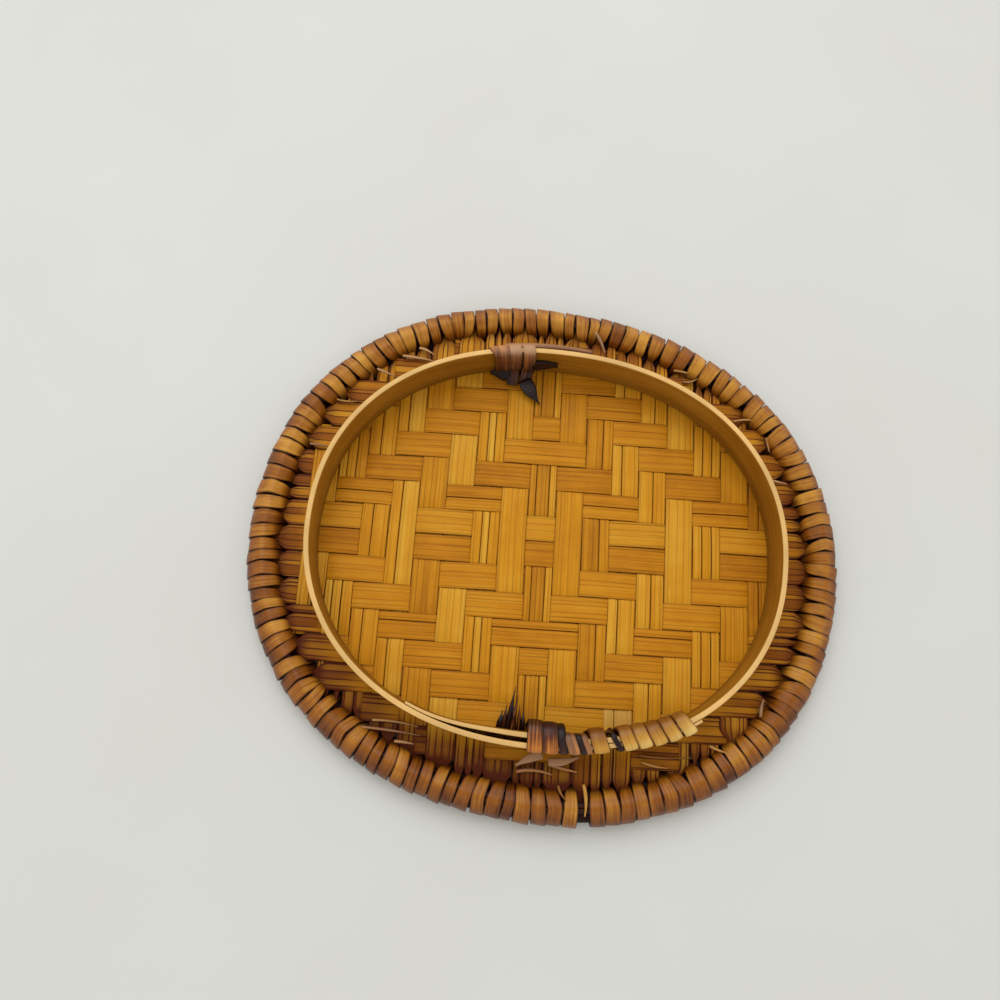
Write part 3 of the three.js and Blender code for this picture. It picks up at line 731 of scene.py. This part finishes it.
class Stitch:
    """One turn of the lashing, which passes the mat at inner and lies over the rim at outer.

    Lean shifts its outer side along the rim, bulge lifts its crest, drawn pulls its shoulder inward, reach
    moves its outer side in or out, and wear_and_glint is how pale that side is at its foot, from rubbing and
    a painted glint.
    """

    def __init__(self, chance, outer, inner, pitch, cell):
        self.outer = outer
        self.inner = inner
        self.inner_width = np.clip(cell, *INNER_WIDTHS)
        self.width = pitch * rim_stretch(outer) * chance.uniform(0.91, 1.0)
        # painted light, paler towards the far side
        self.tone = chance.gauss(0.44, 0.08) + FAR_PAINTED_LIGHT * rim.frame(outer)[0][1]
        self.lean = chance.uniform(-0.45, 0.45)
        self.bulge = chance.uniform(0, 0.3)
        self.tilt = STITCH_TILT * chance.uniform(0.3, 1.6)
        self.drawn = chance.uniform(-0.9, 0.0)
        self.reach = chance.uniform(-0.2, 0.15)
        # pale along the outer foot: a painted glint, and some rubbing
        self.wear_and_glint = np.clip(chance.gauss(0.16, 0.12), 0, 0.35)

    def corner(self, spot, at, width, out=0.0, rise=0.0, tilt=0.0, pale=0.0):
        """Row for wind at a spot of the loop, moved outward and up from there."""
        spot_out, z, tone, dark = spot
        return at, spot_out + out, z + rise, width, self.tone + tone, dark, tilt, pale

    def corners(self):
        """Its loop, from under the rim up the inner side, over the crest and down the outer side."""
        inner, outer, lean, drawn, tilt = self.inner, self.outer, self.lean, self.drawn, self.tilt
        narrow, wide, bulge, reach, wear_and_glint = self.inner_width, self.width, self.bulge, self.reach, self.wear_and_glint
        near = 0.4 * inner + 0.6 * outer
        middling = 0.2 * narrow + 0.7 * wide
        return [
            self.corner(HEEL, inner, narrow),
            self.corner(KNEE, inner, narrow),
            self.corner(NECK, inner, 0.9 * narrow, 0.5 * drawn),
            self.corner(SHOULDER, near, middling, drawn, 0.4 * bulge, 0.6 * tilt),
            self.corner(CREST, outer - 0.5 * lean, 0.95 * wide, 0, bulge, tilt),
            self.corner(BROW, outer + 0.5 * lean, wide, 0.5 * bulge + 0.6 * reach, bulge, tilt),
            self.corner(CHEEK, outer + 0.7 * lean, wide, 0.5 * bulge + reach, 0.5 * bulge, tilt, 0.3 * wear_and_glint),
            self.corner(BELLY, outer + 0.8 * lean, wide, 0.4 * bulge + reach, 0, tilt, wear_and_glint),
            self.corner(TOE, outer + lean, 0.95 * wide),
        ]


def tongue_places():
    """Where the splints enter the rim, as distances along it in order."""
    places = []
    for splints in (warp, weft):
        for node in splints.nodes:
            tip = np.zeros(2)
            tip[1 - splints.axis] = splints.places[splint_number(node)]
            for end in splint_ends(splints, node)[1]:
                tip[splints.axis] = end
                places.append(rim.foot(tip))
    return np.sort(places)


def lay_out_stitches():
    """The stitches in order, from the join round the rim. Those between two tongues share the room there."""
    chance = random.Random("stitches")
    join = rim.foot(LASH_JOIN)
    tongues = np.sort(np.mod(tongue_places() - join, rim.perimeter))
    tongues = np.concatenate([[tongues[-1] - rim.perimeter], tongues, [tongues[0] + rim.perimeter]])
    shares = np.array([chance.uniform(0.8, 1.2) for _ in range(STITCHES)])
    pitches = (rim.perimeter - JOIN_GAP) * shares / shares.sum()
    outer = np.cumsum(pitches) - pitches / 2 + JOIN_GAP / 2
    gaps = np.searchsorted(tongues, outer)
    stitches = []
    for k, place in enumerate(outer):
        low, high = tongues[gaps[k] - 1] + TONGUE_ROOM, tongues[gaps[k]] - TONGUE_ROOM
        mates = [mate for mate in range(STITCHES) if gaps[mate] == gaps[k]]
        cell = max(high - low, LEAST_ROOM) / len(mates)
        inner = (low + high) / 2 + (mates.index(k) + 0.5 - len(mates) / 2) * cell
        stitches.append(Stitch(chance, join + place, join + inner, pitches[k], cell))
    return stitches


def lash_rim():
    stitches = lay_out_stitches()
    section = flat_section(STITCH_WIDTH, STITCH_THICKNESS, corner=0.1, count=21, crown=0.03,
                           border=1.0, border_width=0.3)
    for length in range(LASH_LENGTHS):
        run = stitches[length * STITCHES // LASH_LENGTHS:(length + 1) * STITCHES // LASH_LENGTHS]
        corners = [corner for stitch in run for corner in stitch.corners()]
        ribbons = Ribbons()
        wind(ribbons, rim, corners, STITCH_THICKNESS, section)
        dress(ribbons, f"rim_lashing_{length + 1}", "strip", lashing_rattan)


lash_rim()


# Collar hoop


def lap_gap(x):
    """Space between the two layers of the lap."""
    opening = smooth(x, LAP_OPENS, LAP_WIDEST[0])
    closing = smooth(x, LAP_WIDEST[1], LAP_CLOSES)
    return LAP_SLACK + LAP_BOW * opening * (1 - closing)


def lap_shift(at):
    """How far both layers lie outward together, towards the outer end of the lap."""
    end = hoop.near_side(LAP_END)
    return (HOOP_THICKNESS + LAP_SLACK) * smooth(at, end - LAP_EASE, end)


def hoop_layers(at, run, length):
    """Thickness of the hoop's strip, skived at both ends, and how far out its middle lies."""
    is_inner = at < hoop.near_side(LAP_END)
    inner_face = lap_shift(at) - HOOP_THICKNESS - lap_gap(hoop.frame(at)[0][:, 0])
    face = np.where(is_inner, inner_face, lap_shift(at - hoop.perimeter))
    skive = SKIVE_SHARE + (1 - SKIVE_SHARE) * np.clip(np.minimum(run, length - run) / SKIVE_LENGTH, 0, 1)
    thickness = HOOP_THICKNESS * skive
    middle = np.where(is_inner, face - thickness / 2, face - HOOP_THICKNESS + thickness / 2)
    return thickness, middle


def bend_hoop():
    chance = random.Random("hoop")
    inner_end, outer_end = hoop.near_side(LAP_START), hoop.near_side(LAP_END)
    length = hoop.perimeter + outer_end - inner_end
    run = np.linspace(0, length, int(length))
    at = inner_end + run
    thickness, middle = hoop_layers(at, run, length)
    top = hoop_high[2] + wobble(chance, run, *TOP_DRIFT)
    height = top - HOOP_FOOT
    centre = hoop.place(at, middle, (top + HOOP_FOOT) / 2)
    outward = np.concatenate([hoop.frame(at)[1], np.zeros((len(run), 1))], 1)
    upward, through, _ = flat_section(np.mean(height), HOOP_THICKNESS, HOOP_CORNER, count=22)
    # painted shade, darker towards the foot of both faces
    section = (upward, through, HOOP_SHADE * smooth(-upward, -0.3, 1.0))
    cut_edge = smooth(upward, 0.96, 0.99)
    tone = 0.5 + wobble(chance, run, *TONE_DRIFT)
    ribbons = Ribbons()
    ribbons.add(centre, outward, height, thickness, section, tone, pale=cut_edge[None, :])
    dress(ribbons, "collar_hoop", "strip", hoop_bamboo)


bend_hoop()


# Binding and ties round the hoop

STRIP_SECTION = flat_section(STRIP_WIDTH, STRIP_THICKNESS, corner=0.18, count=9, crown=0.2)


def wrap(ribbons, side, turns, layers, slack=0.0, inner_foot_shade=0.35):
    """Strip wound round a side of the hoop, with turns as rows of x, width, tone, slant, dark and pale.

    Slack is how far the turns stand off the inner face, and inner_foot_shade the painted shade at their
    inner foot.
    """
    top, foot = hoop_high[2] + STRIP_OFF, HOOP_FOOT + STRIP_LIFT
    corners = []
    for x, width, tone, slant, dark, pale in turns:
        at = side(x)
        depth = layers * HOOP_THICKNESS + (layers - 1) * lap_gap(hoop.frame(at)[0][0])
        outer = lap_shift(at) + STRIP_OFF
        inner = lap_shift(at) - depth - STRIP_OFF
        # From the inner foot up to the top, over it, and down to the outer foot. Darker down the inner side,
        # as painted shade with some staining, and at both feet as painted shade; lighter over the outer top
        # as painted light, where the pale is a painted highlight.
        corners += [
            (at - slant, inner - 0.4 * slack, foot, width, tone - 0.3, dark + inner_foot_shade, 0, 0),
            (at - 0.8 * slant, inner - slack, top - SLACK_DROP, width,
             tone - 0.25, dark + 0.5 * inner_foot_shade, 0, 0.2 * pale),
            (at - 0.6 * slant, inner - 0.5 * slack, top - 0.2, width,
             tone - 0.2, dark + 0.4 * inner_foot_shade, 0, 0.4 * pale),
            (at - 0.5 * slant, inner + STRIP_OFF, top + 0.1, width,
             tone - 0.15, dark + 0.1 * inner_foot_shade, 0, pale),
            (at + 0.5 * slant, outer, top, width, tone + 0.12, dark, 0, pale),
            (at + slant, outer, foot, width, tone - 0.1, dark + 0.25, 0, 0),
        ]
    wind(ribbons, hoop, corners, STRIP_THICKNESS, STRIP_SECTION, reach=0.7, step=1.2)


def wind_binding():
    chance = random.Random("binding")
    places = [FIRST_TURN] + [(BOUND_START + BOUND_PITCH * k, BOUND_WIDTH) for k in range(BOUND_TURNS)]
    turns = [(x, width, chance.gauss(0.52, 0.1), 0.6, 0.0, 0.0) for x, width in places]
    ribbons = Ribbons()
    wrap(ribbons, hoop.near_side, turns, layers=2, slack=1.5, inner_foot_shade=1.5)
    dress(ribbons, "hoop_binding", "strip", binding_rattan)


wind_binding()


def loose(ribbons, points, width, tone, dark, tip, thickness=0.5, up=UP, pale=0.0):
    """Loose end of a strip, bent through three given points and narrowing to a share of its width."""
    points = np.array(points, float)
    walked = walk(points)
    fine = np.linspace(0, walked[-1], LOOSE_POINTS)
    curves = [np.polyfit(walked, values, 2) for values in points.T]
    centre = np.stack([np.polyval(curve, fine) for curve in curves], -1)
    narrowing = 1 - (1 - tip) * smooth(fine, TAPER_START * walked[-1], walked[-1])
    section = flat_section(width, thickness, corner=0.4 * thickness, count=7, crown=0.06)
    ribbons.add(centre, np.asarray(up, float), width * narrowing, thickness * narrowing ** 0.5, section,
                tone, dark, pale)


def fray_near_tie(ribbons):
    """Tuft of frayed ends that points inward from the foot of the near tie."""
    foot, middle, top = TUFT_HEIGHTS
    # Foot and tip seen from above, width and tone of each
    for base, tip, width, tone in (
            ((-7.6, -40.8), (-7.0, -36.9), 1.4, 0.1), ((-6.7, -41.0), (-6.1, -35.6), 1.1, 0.3),
            ((-5.9, -41.0), (-4.4, -31.6), 1.1, 0.15), ((-5.0, -41.0), (-3.7, -33.4), 1.0, 0.55),
            ((-4.2, -40.8), (-4.9, -34.6), 0.9, 0.2), ((-3.3, -40.8), (-3.3, -35.6), 0.9, 0.6),
            ((-2.5, -40.6), (-2.4, -36.7), 1.1, 0.1)):
        between = [(a + b) / 2 for a, b in zip(base, tip)]
        points = [(*base, foot), (*between, middle), (*tip, top)]
        loose(ribbons, points, width, tone, dark=0.25, tip=0.12, thickness=0.9)


def tie_near():
    ribbons = Ribbons()
    slack_turns = (
        (-0.2, 3.3, 0.6, 0.2, 0.0, 0.0), (3.1, 3.3, 0.56, 0.3, 0.0, 0.0), (5.7, 1.7, 0.12, 0.5, 0.3, 0.0))
    tight_turns = (
        (7.7, 2.3, 0.6, 1.0, 0.05, 0.3), (9.6, 1.3, 0.2, 1.0, 0.3, 0.0), (10.7, 1.3, 0.55, 0.9, 0.05, 0.3),
        (17.0, 1.1, 0.05, 1.1, 0.5, 0.0))
    wrap(ribbons, hoop.near_side, slack_turns, layers=2, slack=2.2, inner_foot_shade=1.6)
    wrap(ribbons, hoop.near_side, tight_turns, layers=2, slack=0.5)
    for points, width, tone in (
            ([(2.0, -45.4, 10), (-0.6, -46.4, 9.2), (-3.4, -48.1, 8.0)], 1.8, 0.7),
            ([(3.4, -46.9, 9.0), (6.6, -46.6, 9.2), (9.9, -45.5, 8.6)], 1.7, 0.65)):
        loose(ribbons, points, width, tone, dark=0.05, tip=0.3, pale=0.7)
    for points in (
            [(4.2, -47.6, 7.2), (7.0, -48.2, 7.4), (9.8, -48.7, 7.0)],
            [(-3.2, -49.4, 6.9), (0.8, -48.9, 7.3), (4.4, -49.6, 6.9)]):
        loose(ribbons, points, width=0.8, tone=0.8, dark=0.0, tip=0.5, pale=0.3)
    fray_near_tie(ribbons)
    dress(ribbons, "tie_near", "strip", tie_rattan)


def tie_far():
    ribbons = Ribbons()
    turns = (
        (-6.3, 2.8, 0.9, 0.2, 0.0, 0.9), (-9.5, 2.8, 0.9, 0.2, 0.0, 0.9), (-12.3, 2.2, 0.85, 0.7, 0.0, 0.4),
        (-14.2, 1.7, 0.8, 0.9, 0.0, 0.2))
    wrap(ribbons, hoop.far_side, turns, layers=1, slack=0.7, inner_foot_shade=0.8)
    loose(ribbons, [(-5.2, 42.0, 11.6), (-2.2, 42.3, 11.9), (0.7, 42.3, 12.2)],
          width=3.2, tone=0.05, dark=0.6, tip=0.5, up=(0, -1, 0.2))
    loose(ribbons, [(-6.8, 40.0, 7.8), (-5.4, 37.6, 7.8), (-2.8, 34.4, 6.9)],
          width=3.4, tone=0.02, dark=0.7, tip=0.1)
    # Dark strip on the left, which also stands as painted shade on the wall below the knot
    loose(ribbons, [(-10.4, 41.4, 8.6), (-12.4, 41.2, 8.4), (-15.0, 41.2, 7.8)],
          width=4.2, tone=0.05, dark=0.7, tip=0.2, up=(0, -1, 0.8))
    # The two turns carried down to the foot, darker there: painted shade and staining
    for points in (
            [(-9.5, 42.3, 10.4), (-9.6, 41.0, 8.0), (-9.8, 38.8, 6.9)],
            [(-6.3, 42.3, 10.4), (-6.5, 41.0, 8.0), (-7.0, 39.0, 6.9)]):
        loose(ribbons, points, width=2.8, tone=0.35, dark=0.45, tip=0.9)
    loose(ribbons, [(-12.0, 46.2, 12.5), (-1.5, 46.5, 13.2), (8.6, 46.2, 12.2)],
          width=1.3, tone=0.7, dark=0.0, tip=0.8, thickness=0.9, pale=0.4)
    dress(ribbons, "tie_far", "strip", tie_rattan)


tie_near()
tie_far()


# Loose ends of the lashing, along the inner edge of the rim


def loose_ends():
    # Start, end and width of each
    ends = (
        ((9.6, 53.0, 8.9), (12.3, 48.7, 6.6), 0.84), ((49.7, -34.6, 6.6), (49.7, -30.8, 8.6), 0.77),
        ((5.8, -51.6, 8.3), (7.6, -54.4, 8.7), 0.63), ((11.2, -51.0, 8.2), (11.7, -57.4, 8.4), 0.91),
        ((22.9, -44.4, 6.9), (34.5, -44.1, 6.8), 0.63), ((23.6, -45.7, 6.9), (29.3, -46.6, 6.8), 0.63),
        ((38.3, -41.4, 7.0), (42.0, -42.6, 7.6), 0.7), ((-37.6, -42.4, 7.0), (-24.4, -43.4, 6.8), 0.63),
        ((-35.1, -40.8, 6.8), (-25.0, -41.6, 6.8), 0.63), ((-29.8, -44.9, 7.0), (-25.6, -45.2, 7.8), 0.7),
        ((-36.4, 44.3, 7.2), (-29.0, 43.6, 6.9), 0.7), ((-32.6, 46.6, 7.2), (-28.8, 45.0, 6.9), 0.7),
        ((-42.2, 40.5, 7.2), (-37.5, 38.9, 6.8), 0.63), ((-51.1, 32.1, 7.0), (-45.8, 32.1, 6.8), 0.63),
        ((29.1, 45.3, 7.2), (34.6, 44.4, 7.0), 0.63), ((31.3, 42.7, 6.8), (35.0, 43.7, 7.2), 0.7),
        ((43.5, 33.4, 6.8), (49.7, 33.7, 7.0), 0.56), ((51.2, 29.7, 7.4), (52.1, 26.4, 6.9), 0.63),
        ((-56.0, 20.6, 7.2), (-51.5, 20.2, 6.8), 0.56), ((51.8, 19.6, 6.8), (55.9, 18.7, 7.4), 0.63),
    )
    chance = random.Random("loose ends")
    ribbons = Ribbons()
    for start, end, width in ends:
        middle = [(a + b) / 2 + chance.uniform(-0.4, 0.4) for a, b in zip(start, end)]
        tone = chance.uniform(0.5, 0.9)
        pale = chance.uniform(0.0, 0.35)
        loose(ribbons, [start, middle, end], width, tone, dark=0.1, tip=0.4, thickness=0.35, pale=pale)
    piece = ribbons.build("rim_loose_ends", lashing_rattan)


loose_ends()


# Floor, light and camera


def lay_floor():
    shader = Shader(bpy.data.materials.new("pale_floor"))
    body = shader.node("ShaderNodeTexCoord").outputs["Object"]
    cloud = shader.noise(body, (9.0, 9.0, 9.0), detail=3.0)
    colour = shader.ramp(cloud, (0.3, (217, 217, 211)), (0.7, (222, 223, 219)))
    shader.set(Base_Color=colour, Roughness=0.75)
    mesh = bpy.data.meshes.new("floor")
    corners = [(FLOOR_REACH * x, FLOOR_REACH * y, 0) for x, y in ((-1, -1), (1, -1), (1, 1), (-1, 1))]
    mesh.from_pydata(corners, [], [(0, 1, 2, 3)])
    mesh.materials.append(shader.owner)
    floor = bpy.data.objects.new("floor", mesh)
    bpy.context.scene.collection.objects.link(floor)


def hang_lamp(name, place, size, power, colour):
    """Square lamp that shines on the middle of the part, with its place and size in metres."""
    lamp = bpy.data.lights.new(name, "AREA")
    lamp.size = size
    lamp.energy = power
    lamp.color = linear(colour)[:3]
    holder = bpy.data.objects.new(name, lamp)
    holder.location = place
    aim = -holder.location
    holder.rotation_euler = aim.to_track_quat("-Z", "Y").to_euler()
    bpy.context.scene.collection.objects.link(holder)


def light_scene():
    room = Shader(bpy.data.worlds.new("soft_room"), "Background")
    sight = room.node("ShaderNodeTexCoord").outputs["Generated"]
    height = room.node("ShaderNodeSeparateXYZ", Vector=sight).outputs["Z"]
    room.set(Color=room.ramp(height, (0.0, (235, 235, 234)), (1.0, (205, 203, 198))), Strength=1.0)
    bpy.context.scene.world = room.owner
    hang_lamp("window", place=(-0.2, 0.6, 1.0), size=0.9, power=6.2, colour=(250, 251, 255))


def set_camera():
    camera = bpy.data.cameras.new("camera")
    camera.sensor_fit = "HORIZONTAL"
    camera.sensor_width = SENSOR_WIDTH
    camera.lens = SENSOR_WIDTH * FOCAL_PIXELS / PICTURE_PIXELS
    camera.clip_start = 0.01
    holder = bpy.data.objects.new("camera", camera)
    place = Matrix.Translation([length * MM for length in CAMERA_PLACE])
    tilted = place @ Matrix.Rotation(CAMERA_TILT, 4, "X")
    holder.matrix_world = tilted @ Matrix.Rotation(CAMERA_ROLL, 4, "Z")
    bpy.context.scene.collection.objects.link(holder)
    bpy.context.scene.camera = holder


lay_floor()
light_scene()
set_camera()
bpy.context.scene.view_settings.view_transform = "Standard"
